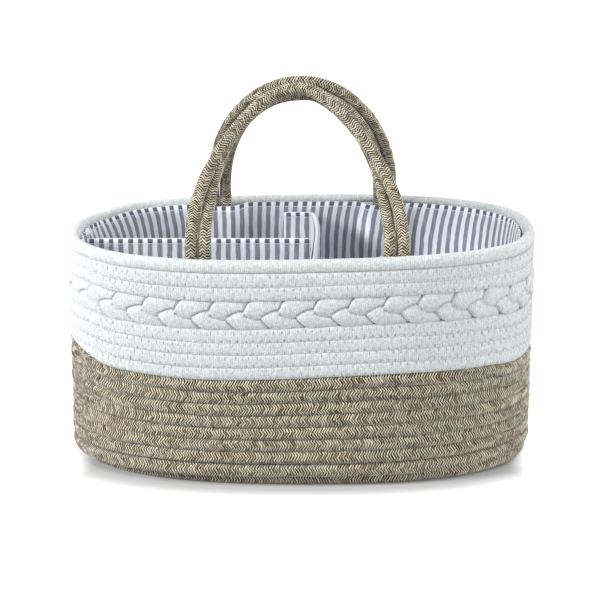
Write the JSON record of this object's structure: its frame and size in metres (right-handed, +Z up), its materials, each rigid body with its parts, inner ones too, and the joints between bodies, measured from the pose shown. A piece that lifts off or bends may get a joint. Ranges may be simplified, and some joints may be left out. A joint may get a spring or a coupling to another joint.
{
  "type": "diaper caddy",
  "caption": "Oval storage basket of coiled cotton rope with a plaited band, rope carry handles, a striped cloth lining and a removable T-shaped divider insert",
  "frame": {"origin": "centre of the basket's base on the surface that it stands on", "axes": "+X along the basket's length to the right, +Y to the back, +Z up"},
  "size_m": [0.38, 0.228, 0.3065],
  "materials": {
    "beige_rope": "braided cotton rope of cream, tan and brown yarns",
    "white_rope": "white knitted cotton rope, stitched row to row",
    "striped_fabric": "plain weave cotton with grey and white stripes",
    "loop_fabric": "brushed white loop and hook fabric",
    "stiff_board": "plain stiffening board inside the dividers"
  },
  "bodies": {
    "basket": {"base_rope_coil": "beige_rope", "beige_wall_coil": "beige_rope", "white_lower_coil": "white_rope", "plait_strand_1": "white_rope", "plait_strand_2": "white_rope", "plait_strand_3": "white_rope", "white_upper_coil": "white_rope", "rim_rope": "white_rope", "lining_floor": "striped_fabric", "lining_wall": "striped_fabric", "front_handle_left_outer_end": "beige_rope", "front_handle_left_inner_end": "beige_rope", "front_handle_right_outer_end": "beige_rope", "front_handle_right_inner_end": "beige_rope", "rear_handle_left_outer_end": "beige_rope", "rear_handle_left_inner_end": "beige_rope", "rear_handle_right_outer_end": "beige_rope", "rear_handle_right_inner_end": "beige_rope"},
    "front_handle": {"front_handle_outer_rope": "beige_rope", "front_handle_inner_rope": "beige_rope"},
    "rear_handle": {"rear_handle_outer_rope": "beige_rope", "rear_handle_inner_rope": "beige_rope"},
    "long_divider": {"long_divider_sleeve": "striped_fabric", "long_divider_board": "stiff_board", "long_divider_hook_strip": "loop_fabric"},
    "cross_divider": {"cross_divider_sleeve": "striped_fabric", "cross_divider_board": "stiff_board", "cross_divider_loop_facing": "loop_fabric", "cross_divider_back_tab": "striped_fabric", "cross_divider_front_tab": "striped_fabric"}
  },
  "joints": [
    {"name": "front_handle_hinge", "type": "hinge", "parent": "basket", "child": "front_handle", "pos_m": [0, -0.09025, 0.193], "axis": [1, 0, 0], "range_deg": [0, 127]},
    {"name": "rear_handle_hinge", "type": "hinge", "parent": "basket", "child": "rear_handle", "pos_m": [0, 0.09194, 0.193], "axis": [-1, 0, 0], "range_deg": [0, 127]},
    {"name": "long_divider_lift", "type": "slide", "parent": "basket", "child": "long_divider", "axis": [0, 0, 1], "range_m": [0, 0.105]},
    {"name": "cross_divider_lift", "type": "slide", "parent": "basket", "child": "cross_divider", "axis": [0, 0, 1], "range_m": [0, 0.105]}
  ]
}
